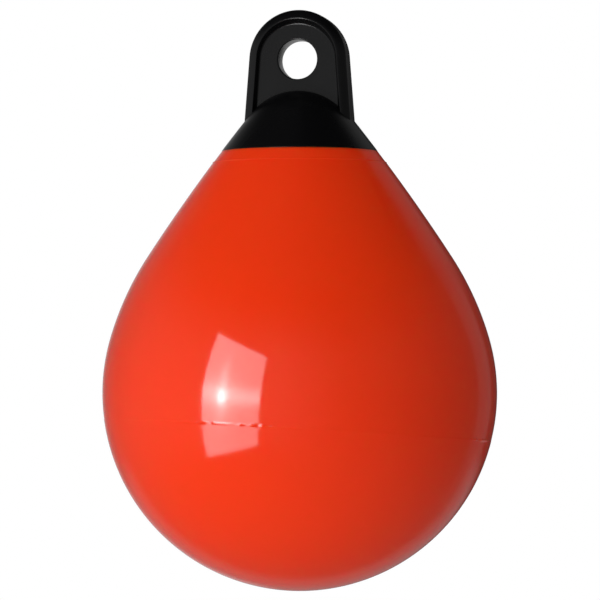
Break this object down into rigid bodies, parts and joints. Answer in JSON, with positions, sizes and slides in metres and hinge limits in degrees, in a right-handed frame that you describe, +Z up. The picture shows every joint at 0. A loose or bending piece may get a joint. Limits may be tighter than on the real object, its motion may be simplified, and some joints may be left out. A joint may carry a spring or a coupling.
{
  "type": "ball fender",
  "caption": "Inflatable pear-shaped boat fender of soft PVC, with a moulded black rope eye at its neck and an air valve behind.",
  "frame": {"origin": "centre of the rope eye's hole, midway between the two faces of the eye", "axes": "+Z up along the fender's axis towards the top of the eye; the hole runs along Y; -Y is the front, and the valve is on the +Y side"},
  "size_m": [0.2, 0.2, 0.294],
  "materials": {
    "red_pvc": "glossy soft PVC",
    "black_pvc": "satin soft PVC",
    "valve_plastic": "satin nylon",
    "seal_rubber": "matte",
    "screw_plastic": "satin nylon"
  },
  "bodies": {
    "root": {"ball_body": "red_pvc", "eye_cap": "black_pvc", "valve_body": "valve_plastic", "valve_seal": "seal_rubber", "valve_screw": "screw_plastic"}
  },
  "joints": []
}
